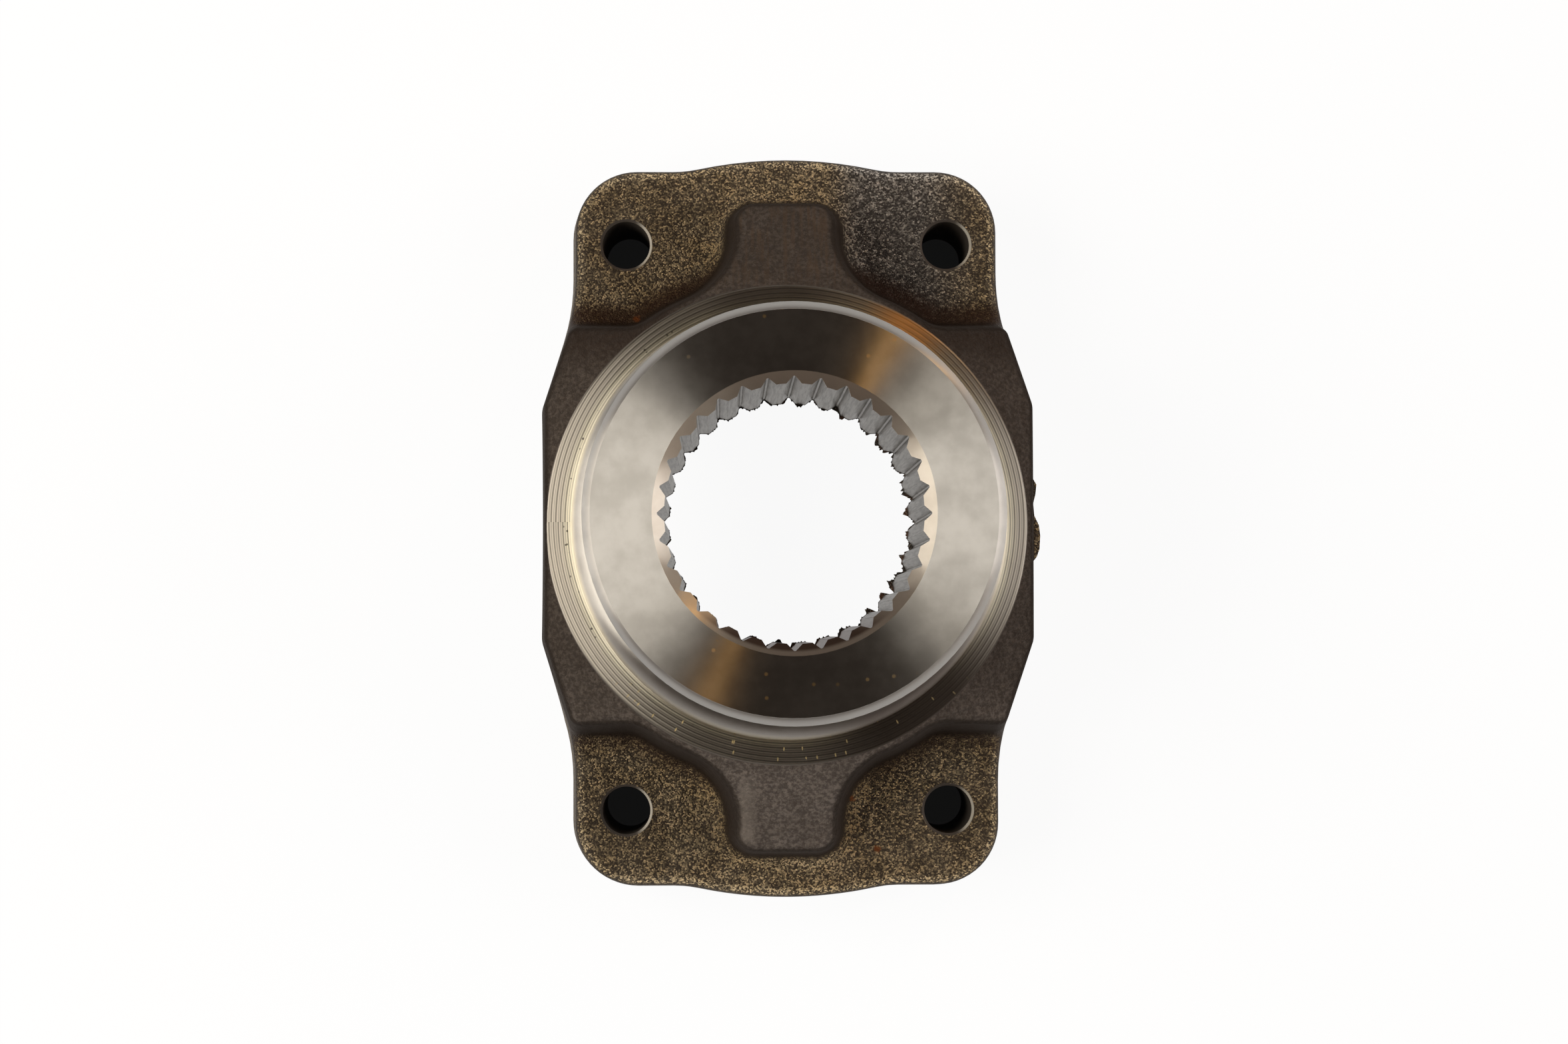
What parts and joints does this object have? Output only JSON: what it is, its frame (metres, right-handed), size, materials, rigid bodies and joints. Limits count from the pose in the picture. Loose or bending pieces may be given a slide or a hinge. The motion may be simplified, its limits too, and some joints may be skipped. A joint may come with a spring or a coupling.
{
  "type": "forged yoke",
  "caption": "Forged steel end yoke for a universal joint: splined hub with a turned seal journal, and drilled ears with half-round saddles for bearing caps held by straps",
  "frame": {"origin": "the joint centre: where the trunnion axis crosses the hub axis, in the plane of the four strap seats that the yoke stands on", "axes": "+Z along the hub towards the splined end; Y along the trunnion axis, from ear to ear (the longest way); X across the ears"},
  "size_m": [0.0899, 0.1378, 0.089],
  "materials": {
    "forged_steel": "as-forged brown-black skin; hub, shoulder, saddles, seats and holes left bright where they were machined"
  },
  "bodies": {
    "root": {"yoke": "forged_steel"}
  },
  "joints": []
}
